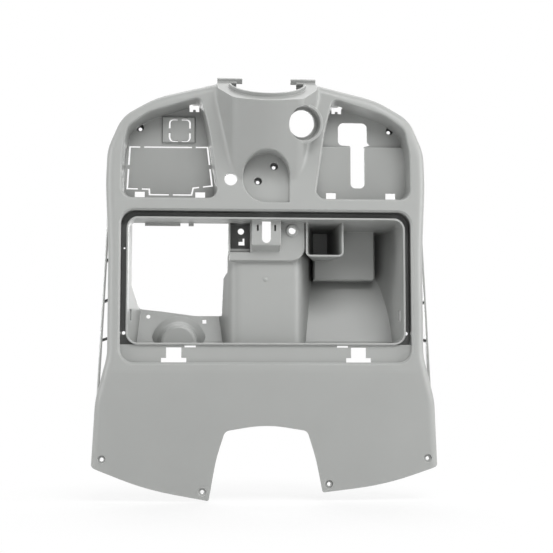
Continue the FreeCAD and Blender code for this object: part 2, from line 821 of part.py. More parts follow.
# Filled outer form with the column cover blended in, and the hollow behind it
outer = rolled_body(0.0, RIM_DEPTH, 0.0)
inner = rolled_body(WALL, RIM_DEPTH + 60.0, 40.0)
cover_room = box(-FAR, FAR, -FAR, COVER_BACK_Y, COVER_LOW_Z, FAR)
hollow_room = box(-FAR, FAR, -FAR, COVER_BACK_Y + CUT_PAST, COVER_LOW_Z, FAR)
cover_out = cover_prism(cover_ring(0.0), 0.0, COVER_LENGTH).common(cover_room)
cover_in = cover_prism(cover_ring(WALL), WALL, COVER_LENGTH + CUT_PAST).common(hollow_room)
front = outer.fuse(cover_out)
joint = near_edges(front, Part.Compound(cover_out.Faces), Part.Compound(outer.Faces), 300.0)
front = front.makeFillet(COVER_FILLET, [e for e in joint if e.BoundBox.ZMax < COVER_BLEND_TOP_Z]).Solids[0]
hollow = inner.fuse(cover_in)

# Boss of the lock funnel, standing out of the cover
lock_point = vec(LOCK_X, LOCK_Y, LOCK_Z)
out_way = lock_axis()
lock_boss_r = LOCK_MOUTH_R + LOCK_RIM
lock_boss_length = LOCK_FUNNEL_DEPTH + LOCK_BORE_LENGTH
lock_boss = Part.makeCylinder(lock_boss_r, lock_boss_length, lock_point, out_way * -1.0)
front = front.fuse(lock_boss)

# Cups of the recesses, filled
cups = [recess(side, WALL).common(front) for side in (1, -1)]
cups.append(frame_recess(WALL).common(front))
hook_ring = [
    (HOOK_LEFT_X, HOOK_BOTTOM_Z, HOOK_RADIUS),
    (HOOK_RIGHT_X, HOOK_BOTTOM_Z, 1.5),
    (HOOK_RIGHT_X, HOOK_TOP_Z, HOOK_RADIUS),
    (HOOK_LEFT_X, HOOK_TOP_Z, HOOK_RADIUS),
]
cups.append(prism_y(grown(hook_ring, WALL), -FAR, HOOK_FLOOR_Y + WALL).common(front))

# Screw bosses: hook recess, upper recesses and legs; each is (x, z, floor depth)
hook_screws = [(HOOK_SCREW_LOW_X, HOOK_SCREW_LOW_Z), (HOOK_SCREW_HIGH_X, HOOK_SCREW_HIGH_Z)]
deep_screws = [(x, z, HOOK_FLOOR_Y) for x, z in hook_screws]
deep_screws += [(side * UPPER_SCREW_X, UPPER_SCREW_Z, RECESS_FLOOR_Y) for side in (1, -1)]
for x, z, floor_y in deep_screws:
    cups.append(boss(x, z, SCREW_BOSS_R, floor_y, floor_y + SCREW_PIT_DEPTH + WALL))
floor_screws = [
    (OUTER_SCREW_X, OUTER_SCREW_Z, OUTER_SEAT_Y),
    (-OUTER_SCREW_X, OUTER_SCREW_Z, OUTER_SEAT_Y),
    (LEFT_INNER_SCREW_X, LEFT_INNER_SCREW_Z, INNER_SEAT_Y),
    (RIGHT_INNER_SCREW_X, RIGHT_INNER_SCREW_Z, INNER_SEAT_Y),
]
for x, z, seat_y in floor_screws:
    cups.append(boss(x, z, FLOOR_BOSS_R, seat_y - RIM_DEPTH, seat_y + FLOOR_BOSS_DEPTH).common(front))

# Sleeves of the lock funnel and of the round hole
sleeve_start = lock_point + out_way * LOCK_REACH
sleeve = Part.makeCylinder(lock_boss_r, LOCK_REACH + lock_boss_length, sleeve_start, out_way * -1.0)
cups.append(sleeve.common(front))
hole_sleeve = boss(ROUND_HOLE_X, ROUND_HOLE_Z, ROUND_HOLE_R + WALL, -RIM_DEPTH, ROUND_HOLE_DEPTH)
cups.append(hole_sleeve.common(front))

# Collar: raised lip around the opening and two arms behind it
collar_ring = [
    (COLLAR_HALF, COVER_DEPTH - ARM_WALL, 0.0),
    (COLLAR_HALF, COLLAR_LEDGE, COLLAR_HALF - 0.1),
    (-COLLAR_HALF, COLLAR_LEDGE, COLLAR_HALF - 0.1),
    (-COLLAR_HALF, COVER_DEPTH - ARM_WALL, 0.0),
]
opening_ring = grown(collar_ring, -COLLAR_LIP_WALL)
lip_limit_ring = [
    (-COVER_BACK_HALF, -CUT_PAST, 0.0),
    (COVER_BACK_HALF, -CUT_PAST, 0.0),
    (COVER_BACK_HALF, COLLAR_LIP_END, 0.0),
    (-COVER_BACK_HALF, COLLAR_LIP_END, 0.0),
]
lip_limit = cover_prism(lip_limit_ring, -LOCK_REACH, LOCK_REACH)
collar_lip = cover_prism(collar_ring, -COLLAR_LIP, WALL / 2.0).common(lip_limit)
arms = []
for side in (1, -1):
    xs = sorted((side * ARM_GAP_HALF, side * COVER_BACK_HALF))
    w0 = COVER_DEPTH - ARM_WALL
    ring = [(xs[0], w0, 0), (xs[1], w0, 0), (xs[1], COVER_DEPTH, 0), (xs[0], COVER_DEPTH, 0)]
    arms.append(cover_prism(ring, -ARM_HEIGHT, WALL))
notch_back = COVER_DEPTH + RIM_DEPTH
notch_ring = [
    (-COLLAR_NOTCH_HALF, COLLAR_NOTCH_FRONT, 0.0),
    (COLLAR_NOTCH_HALF, COLLAR_NOTCH_FRONT, 0.0),
    (COLLAR_NOTCH_HALF, notch_back, 0.0),
    (-COLLAR_NOTCH_HALF, notch_back, 0.0),
]
collar_cuts = [
    cover_prism(opening_ring, -COLLAR_NOTCH_DEPTH, COLLAR_CUT),
    cover_prism(notch_ring, -COLLAR_NOTCH_DEPTH, COLLAR_NOTCH_DEPTH),
]

# Front form with its recesses; the edges of their mouths are eased
faces = Part.Compound(front.Faces)
form = front
for tool, ease in (
    (recess(1, 0.0), RECESS_MOUTH),
    (recess(-1, 0.0), RECESS_MOUTH),
    (frame_recess(0.0), FRAME_MOUTH),
    (prism_y(hook_ring, -FAR, HOOK_FLOOR_Y), HOOK_MOUTH),
):
    form = form.cut(tool)
    mouth = near_edges(form, Part.Compound(tool.Faces), faces, 100.0)
    form = form.makeChamfer(ease, mouth).Solids[0]
shell = form.cut(hollow.cut(cups))
shell = shell.fuse([collar_lip, flange(1), flange(-1)]).cut(collar_cuts).fuse(arms)

# Tub: outside minus the air in front of the bodies in it and minus their hollow backs
tub_back = TUB_DEPTH + CUT_PAST
tub_out = prism_y(lip_ring(), -CUT_PAST, tub_back).common(face_form(LIP_SET_BACK))
tub_out = tub_out.common(tub_side(LIP_WALL)).common(tub_plan(LIP_WALL))
tub_in = prism_y(grown(lip_ring(), -LIP_WALL), -CUT_PAST, tub_back)
tub_in = tub_in.common(tub_side(0.0)).common(tub_plan(0.0))
pocket_out = pocket(0.0, POCKET_Y, POCKET_DEPTH)
pocket_in = pocket(-POCKET_WALL, POCKET_Y - POCKET_WALL, POCKET_DEPTH - POCKET_WALL)
boss_front = PLATE_Y - PLATE_BOSS_HEIGHT
boss_ring = along_y(PLATE_BOSS_X, PLATE_BOSS_Z, PLATE_BOSS_R, boss_front, PLATE_Y + WALL)
boss_back = boss(PLATE_BOSS_X, PLATE_BOSS_Z, PLATE_BOSS_R, PLATE_Y + WALL / 2.0, PLATE_Y + PLATE_BOSS_R)
bodies = [hump(0.0), plate(0.0), block(0.0), bin_box(0.0), dome(0.0)]
bodies += [pocket_out, clip_recess(WALL), boss_ring]
air = tub_in.cut(bodies)
kept = [clip_recess(WALL), pocket_out, boss_back]
for side in (1, -1):
    x = side * BLOCK_SLOT_X
    half = BLOCK_SLOT_WIDTH / 2.0 + WALL
    pad_back = BLOCK_Y + BLOCK_SLOT_DEPTH + WALL
    low = BLOCK_SLOT_LOW_Z - WALL
    high = BLOCK_SLOT_HIGH_Z + WALL
    kept.append(box(x - half, x + half, BLOCK_Y, pad_back, low, high))
hollows = [hump(WALL), plate(WALL), block(WALL), bin_box(WALL), dome(LIP_WALL)]
tub = tub_out.cut([air] + [hollow_back.cut(kept) for hollow_back in hollows])
roof_ring = [
    (ROOF_CUT_LEFT_X, ROOF_LEFT_Y, 0.0),
    (ROOF_CUT_RIGHT_X, ROOF_RIGHT_Y, 0.0),
    (ROOF_CUT_RIGHT_X, tub_back, 0.0),
    (ROOF_CUT_LEFT_X, tub_back, 0.0),
]
way_cuts = [
    prism_y(WAY_RING, WAY_FRONT_Y, tub_back),
    box(-FAR, LEFT_TUB_RIGHT_X, LEFT_TUB_DEPTH, tub_back, 0.0, FAR),
    prism_z(roof_ring, LIP_TOP_Z - CUT_PAST, LIP_TOP_Z + CUT_PAST),
]
tub = tub.cut(way_cuts)
tab_front = ROOF_TAB_Y - CUT_PAST
tab_top = LIP_TOP_Z - LIP_WALL / 2.0 - roof_fall(tab_front)
tabs = [box(a, b, tab_front, tab_front + ROOF_TAB_WALL, ROOF_TAB_LOW_Z, tab_top) for a, b in ROOF_TABS]
tub = tub.fuse(tabs)

# The opening inside the lip is cleared, then the tub and the pad go in
shell = shell.cut(prism_y(lip_ring(), -CUT_PAST, tub_back))
pad_ring = square_ring(
    (PAD_LEFT_X + PAD_RIGHT_X) / 2.0, (PAD_LOW_Z + PAD_HIGH_Z) / 2.0,
    PAD_RIGHT_X - PAD_LEFT_X, PAD_HIGH_Z - PAD_LOW_Z, 0.0,
)
pad = drafted_y(pad_ring, RECESS_FLOOR_Y + WALL / 2.0, 0.0, RECESS_FLOOR_Y - PAD_HEIGHT, -PAD_HEIGHT / 2.0)
shell = shell.fuse([tub, pad])

# Holes and slots
cuts = [clip_recess(0.0), pocket_in, trim_tool()]
for x, z, floor_y in deep_screws:
    cuts.append(along_y(x, z, SCREW_PIT_R, floor_y, floor_y + SCREW_PIT_DEPTH))
    cuts.append(along_y(x, z, SCREW_HOLE_R, floor_y, floor_y + RIM_DEPTH))
for x, z, seat_y in floor_screws:
    cuts.append(along_y(x, z, FLOOR_SEAT_R, seat_y - RIM_DEPTH, seat_y))
    cuts.append(along_y(x, z, SCREW_HOLE_R, seat_y - WALL, seat_y + RIM_DEPTH))

# Lock: a slightly flared funnel, then the bore, then room behind the bore
funnel_end = lock_point - out_way * LOCK_FUNNEL_DEPTH
funnel_length = LOCK_FUNNEL_DEPTH + LOCK_REACH
cuts.append(
    Part.makeCone(LOCK_MOUTH_R - LOCK_FLARE, LOCK_MOUTH_R + LOCK_FLARE, funnel_length, funnel_end, out_way)
)
cuts.append(Part.makeCylinder(LOCK_BORE_R, 2.0 * LOCK_REACH, lock_point, out_way * -1.0))
bore_end = lock_point - out_way * lock_boss_length
cuts.append(Part.makeCylinder(LOCK_BORE_R + LOCK_RELIEF, LOCK_REACH, bore_end, out_way * -1.0))
cuts.append(along_y(ROUND_HOLE_X, ROUND_HOLE_Z, ROUND_HOLE_R, -RIM_DEPTH, RIM_DEPTH))

# Slots and drains that come in pairs
floor_low = RECESS_FLOOR_Y - CUT_PAST
floor_high = RECESS_FLOOR_Y + CUT_PAST
half = CLIP_HOLE_WIDTH / 2.0
for side in (1, -1):
    clip_holes = [
        (side * CLIP_HOLE_INNER_X, CLIP_HOLE_LOW_Z),
        (side * CLIP_HOLE_OUTER_X, CLIP_HOLE_LOW_Z),
        (side * CLIP_HOLE_TOP_X, CLIP_HOLE_TOP_Z),
    ]
    for x, z in clip_holes:
        cuts.append(box(x - half, x + half, floor_low, floor_high, z, z + CLIP_HOLE_HEIGHT))
    cuts.append(along_y(side * DRAIN_X, DRAIN_LOW_Z, DRAIN_R, 0.0, RIM_DEPTH))
    low = side * SILL_SLIT_X - SILL_SLIT_HALF
    high = side * SILL_SLIT_X + SILL_SLIT_HALF
    sill_back = SILL_DEPTH + CUT_PAST
    cuts.append(box(low, high, 0.0, sill_back, SILL_SLIT_LOW_Z, SILL_SLIT_HIGH_Z))
    x = side * TEE_X
    cuts.append(box(x - TEE_STEM_HALF, x + TEE_STEM_HALF, 0.0, RIM_DEPTH, TEE_LOW_Z, TEE_TOP_Z))
    cuts.append(box(x - TEE_BAR_HALF, x + TEE_BAR_HALF, 0.0, RIM_DEPTH, TEE_LOW_Z, TEE_BAR_TOP_Z))
    xs = sorted((side * (LIP_HALF_X - CUT_PAST), side * (LIP_HALF_X + CUT_PAST)))
    slit_back = SIDE_SLIT_Y + SIDE_SLIT_WIDTH
    cuts.append(box(xs[0], xs[1], SIDE_SLIT_Y, slit_back, SIDE_SLIT_LOW_Z, SIDE_SLIT_HIGH_Z))
cuts.append(along_y(-DRAIN_X, DRAIN_HIGH_Z, DRAIN_HIGH_R, 0.0, RIM_DEPTH))

# Knock-outs, paddle opening and the holes in the left floor
cuts.append(knock_slots(KNOCK_RING, KNOCK_BRIDGES, KNOCK_SLOT))
small_ring = square_ring(
    SMALL_KNOCK_X, SMALL_KNOCK_Z, SMALL_KNOCK_WIDTH, SMALL_KNOCK_HEIGHT, SMALL_KNOCK_RADIUS
)
small_bridges = [
    (SMALL_KNOCK_X - SMALL_KNOCK_WIDTH / 2.0, SMALL_KNOCK_Z),
    (SMALL_KNOCK_X + SMALL_KNOCK_WIDTH / 2.0, SMALL_KNOCK_Z),
    (SMALL_KNOCK_X, SMALL_KNOCK_Z - SMALL_KNOCK_HEIGHT / 2.0),
    (SMALL_KNOCK_X, SMALL_KNOCK_Z + SMALL_KNOCK_HEIGHT / 2.0),
]
cuts.append(knock_slots(small_ring, small_bridges, KNOCK_SLOT))
cuts.append(prism_y(PADDLE_RING, floor_low, floor_high))
left_back = LEFT_TUB_DEPTH + CUT_PAST
cuts.append(along_y(FLOOR_HOLE_X, FLOOR_HOLE_Z, FLOOR_HOLE_R, DOME_Y, left_back))
square = square_ring(FLOOR_SQUARE_X, FLOOR_SQUARE_Z, FLOOR_SQUARE, FLOOR_SQUARE, 0.0)
cuts.append(prism_y(square, DOME_Y, left_back))

# Striker and slots of the latch block, boss of the plate, clip recess
striker_y = BLOCK_Y + WALL + CUT_PAST
striker_top = LIP_TOP_Z - LIP_WALL - roof_fall(striker_y)
cuts.append(along_y(0.0, STRIKER_LOW_Z, STRIKER_HALF, 0.0, striker_y))
cuts.append(box(-STRIKER_HALF, STRIKER_HALF, 0.0, striker_y, STRIKER_LOW_Z, striker_top))
for side in (1, -1):
    x = side * BLOCK_SLOT_X
    half = BLOCK_SLOT_WIDTH / 2.0
    slot_back = BLOCK_Y + BLOCK_SLOT_DEPTH
    cuts.append(box(x - half, x + half, 0.0, slot_back, BLOCK_SLOT_LOW_Z, BLOCK_SLOT_HIGH_Z))
plate_back = PLATE_Y + PLATE_DEPTH
cuts.append(along_y(PLATE_BOSS_X, PLATE_BOSS_Z, PLATE_BOSS_HOLE_R, boss_front, plate_back))
clip_low = CLIP_Y - CUT_PAST
clip_high = CLIP_Y + CUT_PAST
cuts.append(along_y(CLIP_HOLE_X, CLIP_HOLE_Z, CLIP_HOLE_R, clip_low, clip_high))
cuts.append(box(CLIP_SLOT_LEFT_X, CLIP_SLOT_RIGHT_X, clip_low, clip_high, CLIP_SLOT_LOW_Z, CLIP_SLOT_HIGH_Z))
shell = shell.cut(cuts).removeSplitter()

# The origin is midway between the outer floor screws, on their seats
panel = shell.Solids[0].translated(vec(0, -OUTER_SEAT_Y, -OUTER_SCREW_Z))
panel.exportStep("parts/glove_box_panel.step")
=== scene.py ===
"""Scooter front glove box: plastic finish, small details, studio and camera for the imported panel."""

import math

import bmesh
import bpy
from bpy.props import FloatProperty, FloatVectorProperty, PointerProperty
from mathutils import Matrix, Vector


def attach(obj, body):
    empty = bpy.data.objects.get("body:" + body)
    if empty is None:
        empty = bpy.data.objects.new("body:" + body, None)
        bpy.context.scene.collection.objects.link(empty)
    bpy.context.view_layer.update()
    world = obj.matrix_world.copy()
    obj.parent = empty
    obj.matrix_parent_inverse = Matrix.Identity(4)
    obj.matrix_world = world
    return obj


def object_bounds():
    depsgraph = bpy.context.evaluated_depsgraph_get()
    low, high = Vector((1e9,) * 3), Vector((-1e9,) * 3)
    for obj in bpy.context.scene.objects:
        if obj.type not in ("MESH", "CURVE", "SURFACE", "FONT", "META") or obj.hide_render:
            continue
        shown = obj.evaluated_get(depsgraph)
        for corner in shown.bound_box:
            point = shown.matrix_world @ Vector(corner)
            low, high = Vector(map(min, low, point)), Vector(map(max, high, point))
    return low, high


bl_info = {
    "name": "Scooter Front Glove Box",
    "version": (1, 0, 0),
    "blender": (4, 5, 0),
    "location": "3D View > Sidebar > Glove Box",
    "description": "Finishes the moulded glove box panel and sets it in a plain studio",
    "category": "Object",
}

PANEL = "glove_box_panel"

# Wall of the panel, and how far a detail in a hole stays inside the wall's face, in metres
WALL = 0.0026
SET_BACK = 0.0004

# Gate mark: front of the column and height of the mark on it, in metres
COLUMN_FRONT_Y = 0.0125
GATE_Z = 0.2262

# Gate mark: sides and taper of the disc and the nub, and the nub's size as shares of the disc's
GATE_SEGMENTS = 40
GATE_TAPER = 0.75
NUB_RADIUS_SHARE = 0.35
NUB_HEIGHT_SHARE = 2.0

# Clip recess: its sides and floor, and the front and top of the bar across it, in metres
CLIP_LEFT_X = -0.0455
CLIP_RIGHT_X = -0.020
CLIP_FLOOR_Y = 0.0345
CLIP_BAR_FRONT_Y = 0.0165
CLIP_BAR_TOP_Z = 0.2655

# Slot in the clip recess: its upper left corner, and the corner of the step in it, in metres
SLOT_LEFT_X = -0.034
SLOT_TOP_Z = 0.281
STEP_RIGHT_X = -0.0287
STEP_LOW_Z = 0.2766

# Upper clip holes: middle, lower edge, face of the floor that they pierce, hook's height, in metres
HOOK_HOLE_X = 0.092
HOOK_HOLE_Z = 0.4425
RECESS_FLOOR_Y = 0.0155
HOOK_HEIGHT = 0.003

# Rounding of a broken edge: its steps, and the profile that makes it an arc
EASE_SEGMENTS = 2
EASE_PROFILE = 0.5

# Grain: fineness of its noise, share of the pits in it, and strength of its bump
GRAIN_DETAIL = 2.0
PIT_SHARE = 0.45
GRAIN_STRENGTH = 0.5

# Flow clouds: scale and fineness of their noise, and how far they change the roughness each way
CLOUD_SCALE = 9.0
CLOUD_DETAIL = 4.0
CLOUD_ROUGHNESS = 0.05

# Painted edge highlight: agreement of the eased and the plain normal where its mask starts and where it
# is full
EDGE_STARTS = 0.995
EDGE_FULL = 0.85

# Painted edge highlight: the edges' colour as a multiple of the plain plastic's
PAINTED_EDGE_HIGHLIGHT = 1.5

# Painted shade in cavities: openness where it is full and where it ends
SHADE_FULL = 0.05
SHADE_ENDS = 0.6

# Rays that the edge and cavity masks use
MASK_SAMPLES = 8

# Floor: width and gap below the panel, in metres, and roughness
FLOOR_SIZE = 8.0
FLOOR_GAP = 0.001
FLOOR_ROUGHNESS = 0.9

# Floor: share of plain white near the panel, and the distances over which it rises to one, in metres
SHADOW_WHITE = 0.75
SHADOW_NEAR = 0.15
SHADOW_FAR = 0.45

# Lamps: width and height in metres, and the height angle of the side and back lamps in radians
WIDE_LAMP = (1.6, 1.0)
TALL_LAMP = (0.6, 1.5)
LOW_LAMP_HEIGHT = math.radians(12.0)

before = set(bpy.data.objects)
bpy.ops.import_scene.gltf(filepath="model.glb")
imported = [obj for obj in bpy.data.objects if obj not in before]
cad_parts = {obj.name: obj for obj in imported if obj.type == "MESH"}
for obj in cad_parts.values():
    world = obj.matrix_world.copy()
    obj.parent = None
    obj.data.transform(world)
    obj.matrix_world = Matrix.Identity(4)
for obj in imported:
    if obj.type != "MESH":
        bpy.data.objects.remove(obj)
cad_low, cad_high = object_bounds()


class PanelFinish(bpy.types.PropertyGroup):
    """Look of the moulded plastic."""

    plastic: FloatVectorProperty(
        name="Plastic",
        description="Colour of the unpainted plastic",
        subtype="COLOR",
        size=3,
        min=0.0,
        max=1.0,
        default=(0.350, 0.357, 0.348),
    )
    roughness: FloatProperty(
        name="Roughness",
        description="Roughness of the matte mould surface",
        subtype="FACTOR",
        min=0.0,
        max=1.0,
        default=0.4,
    )
    grain_size: FloatProperty(
        name="Grain Size",
        description="Distance between the bumps of the etched mould grain",
        unit="LENGTH",
        min=0.0001,
        max=0.01,
        default=0.0011,
    )
    grain_depth: FloatProperty(
        name="Grain Depth",
        description="Height of the bumps of the mould grain",
        unit="LENGTH",
        min=0.0,
        max=0.001,
        default=0.00003,
    )
    edge_radius: FloatProperty(
        name="Edge Radius",
        description="Small radius that breaks every edge of the moulding",
        unit="LENGTH",
        min=0.0,
        max=0.005,
        default=0.0012,
    )
    # Painted highlight: lightens the plastic's colour along the eased edges
    edge_highlight: FloatProperty(
        name="Edge Highlight",
        description="How much paler the edges are, painted as a highlight",
        subtype="FACTOR",
        min=0.0,
        max=1.0,
        default=0.9,
    )
    # Painted shade: darkens the plastic's colour deep in gutters, slots and pockets
    painted_shade: FloatProperty(
        name="Painted Shade",
        description="How much darker the plastic is deep in gutters, slots and pockets",
        subtype="FACTOR",
        min=0.0,
        max=1.0,
        default=0.7,
    )
    shade_reach: FloatProperty(
        name="Shade Reach",
        description="Width of the gaps that get painted shade",
        unit="LENGTH",
        min=0.001,
        max=0.2,
        default=0.045,
    )
    flow_tone: FloatProperty(
        name="Flow Tone",
        description="Strength of the cloudy tone that the flowing plastic leaves",
        subtype="FACTOR",
        min=0.0,
        max=1.0,
        default=0.06,
    )


class MouldDetails(bpy.types.PropertyGroup):
    """Small moulded details: gate mark, clip bar, slot step and clip hooks."""

    gate_radius: FloatProperty(
        name="Gate Radius",
        description="Radius of the gate mark's raised disc",
        unit="LENGTH",
        min=0.0,
        default=0.0034,
    )
    gate_height: FloatProperty(
        name="Gate Height",
        description="Height of the gate mark's raised disc",
        unit="LENGTH",
        min=0.0,
        default=0.0009,
    )
    bar_height: FloatProperty(
        name="Bar Height",
        description="Height of the bar across the clip recess",
        unit="LENGTH",
        min=0.0,
        default=0.004,
    )
    hook_width: FloatProperty(
        name="Hook Width",
        description="Width of the hook in each upper clip hole",
        unit="LENGTH",
        min=0.0,
        default=0.0035,
    )
    ease: FloatProperty(
        name="Ease",
        description="Radius that breaks the edges of the bar, the step and the hooks",
        unit="LENGTH",
        min=0.0,
        default=0.0004,
    )


class StudioLayout(bpy.types.PropertyGroup):
    """Camera, lamps and floor."""

    target: FloatVectorProperty(
        name="Target",
        description="Point that the camera looks at",
        subtype="TRANSLATION",
        unit="LENGTH",
        size=3,
        default=(0.0119, -0.0175, 0.2272),
    )
    azimuth: FloatProperty(
        name="Azimuth",
        description="Camera's turn to the right round the panel",
        subtype="ANGLE",
        default=math.radians(-3.8),
    )
    elevation: FloatProperty(
        name="Elevation",
        description="Camera's height above the target, as an angle",
        subtype="ANGLE",
        default=math.radians(-5.0),
    )
    distance: FloatProperty(
        name="Distance",
        description="Camera's distance from the target",
        unit="LENGTH",
        default=1.5,
    )
    view_angle: FloatProperty(
        name="View Angle",
        description="Width of the picture, as an angle",
        subtype="ANGLE",
        default=math.radians(26.0),
    )
    sky: FloatProperty(
        name="Sky",
        description="Strength of the even light from all round",
        min=0.0,
        default=0.27,
    )
    key: FloatProperty(
        name="Key Lamp",
        description="Power of the large soft lamp above and to the right",
        unit="POWER",
        min=0.0,
        default=31.0,
    )
    key_azimuth: FloatProperty(
        name="Key Azimuth",
        description="Turn of the key lamp to the right round the panel",
        subtype="ANGLE",
        default=math.radians(18.0),
    )
    key_elevation: FloatProperty(
        name="Key Elevation",
        description="Height of the key lamp above the target, as an angle",
        subtype="ANGLE",
        default=math.radians(44.0),
    )
    left: FloatProperty(
        name="Left Lamp",
        description="Power of the tall soft lamp at the left",
        unit="POWER",
        min=0.0,
        default=18.0,
    )
    right: FloatProperty(
        name="Right Lamp",
        description="Power of the tall soft lamp at the right",
        unit="POWER",
        min=0.0,
        default=23.0,
    )
    back: FloatProperty(
        name="Back Lamp",
        description="Power of the large soft lamp behind the panel",
        unit="POWER",
        min=0.0,
        default=24.0,
    )
    top: FloatProperty(
        name="Top Lamp",
        description="Power of the large soft lamp above and behind",
        unit="POWER",
        min=0.0,
        default=14.0,
    )
    top_elevation: FloatProperty(
        name="Top Elevation",
        description="Height of the top lamp above the target, as an angle",
        subtype="ANGLE",
        default=math.radians(66.0),
    )
    side_azimuth: FloatProperty(
        name="Side Azimuth",
        description="Turn of the side lamps to the left and to the right round the panel",
        subtype="ANGLE",
        default=math.radians(74.0),
    )
    lamp_distance: FloatProperty(
        name="Lamp Distance",
        description="Distance of the lamps from the target",
        unit="LENGTH",
        default=2.2,
    )
    floor: FloatVectorProperty(
        name="Floor",
        description="Colour of the floor",
        subtype="COLOR",
        size=3,
        min=0.0,
        max=1.0,
        default=(0.8, 0.8, 0.8),
    )


def add_node(tree, kind, label, **values):
    """New node with its plain properties set."""
    node = tree.nodes.new(kind)
    node.label = label
    for name, value in values.items():
        setattr(node, name, value)
    return node


def new_group(name, inputs, outputs):
    """New shader node group with named number inputs and named outputs."""
    group = bpy.data.node_groups.new(name, "ShaderNodeTree")
    for label in inputs:
        group.interface.new_socket(label, in_out="INPUT", socket_type="NodeSocketFloat")
    for label, socket in outputs:
        group.interface.new_socket(label, in_out="OUTPUT", socket_type=socket)
    return group, group.nodes.new("NodeGroupInput"), group.nodes.new("NodeGroupOutput")


def mould_grain_group():
    """Fine etched grain and a slow cloudy tone, both in the panel's own space."""
    group, given, made = new_group(
        "Mould Grain",
        ["Scale", "Cloud Scale"],
        [("Height", "NodeSocketFloat"), ("Cloud", "NodeSocketFloat")],
    )
    link = group.links.new
    place = add_node(group, "ShaderNodeTexCoord", "Panel space")
    etched = add_node(group, "ShaderNodeTexNoise", "Etched grain")
    etched.inputs["Detail"].default_value = GRAIN_DETAIL
    pits = add_node(group, "ShaderNodeTexVoronoi", "Grain pits", feature="SMOOTH_F1")
    cloud = add_node(group, "ShaderNodeTexNoise", "Flow cloud")
    cloud.inputs["Detail"].default_value = CLOUD_DETAIL
    blend = add_node(group, "ShaderNodeMix", "Grain and pits", data_type="FLOAT")
    blend.inputs["Factor"].default_value = PIT_SHARE
    for texture in (etched, pits):
        link(place.outputs["Object"], texture.inputs["Vector"])
        link(given.outputs["Scale"], texture.inputs["Scale"])
    link(place.outputs["Object"], cloud.inputs["Vector"])
    link(given.outputs["Cloud Scale"], cloud.inputs["Scale"])
    link(etched.outputs["Fac"], blend.inputs["A"])
    link(pits.outputs["Distance"], blend.inputs["B"])
    link(blend.outputs["Result"], made.inputs["Height"])
    link(cloud.outputs["Fac"], made.inputs["Cloud"])
    return group


def eased_edge_group():
    """Normal with every edge eased by a small radius, and a mask of those edges."""
    group, given, made = new_group(
        "Eased Edge",
        ["Radius"],
        [("Normal", "NodeSocketVector"), ("Edge", "NodeSocketFloat")],
    )
    link = group.links.new
    ease = add_node(group, "ShaderNodeBevel", "Edge radius", samples=MASK_SAMPLES)
    surface = add_node(group, "ShaderNodeNewGeometry", "Surface")
    agree = add_node(group, "ShaderNodeVectorMath", "Agreement", operation="DOT_PRODUCT")
    mask = add_node(group, "ShaderNodeMapRange", "Edge mask", interpolation_type="SMOOTHSTEP")
    mask.inputs["From Min"].default_value = EDGE_STARTS
    mask.inputs["From Max"].default_value = EDGE_FULL
    link(given.outputs["Radius"], ease.inputs["Radius"])
    link(ease.outputs["Normal"], agree.inputs[0])
    link(surface.outputs["Normal"], agree.inputs[1])
    link(agree.outputs["Value"], mask.inputs["Value"])
    link(ease.outputs["Normal"], made.inputs["Normal"])
    link(mask.outputs["Result"], made.inputs["Edge"])
    return group


def cavity_group():
    """Mask that is one on open faces and falls off deep in slots, corners and pockets."""
    group, given, made = new_group("Cavity", ["Reach"], [("Open", "NodeSocketFloat")])
    link = group.links.new
    hemmed = add_node(group, "ShaderNodeAmbientOcclusion", "Hemmed in", only_local=True)
    hemmed.samples = MASK_SAMPLES
    mask = add_node(group, "ShaderNodeMapRange", "Open mask", interpolation_type="SMOOTHSTEP")
    mask.inputs["From Min"].default_value = SHADE_FULL
    mask.inputs["From Max"].default_value = SHADE_ENDS
    link(given.outputs["Reach"], hemmed.inputs["Distance"])
    link(hemmed.outputs["AO"], mask.inputs["Value"])
    link(mask.outputs["Result"], made.inputs["Open"])
    return group


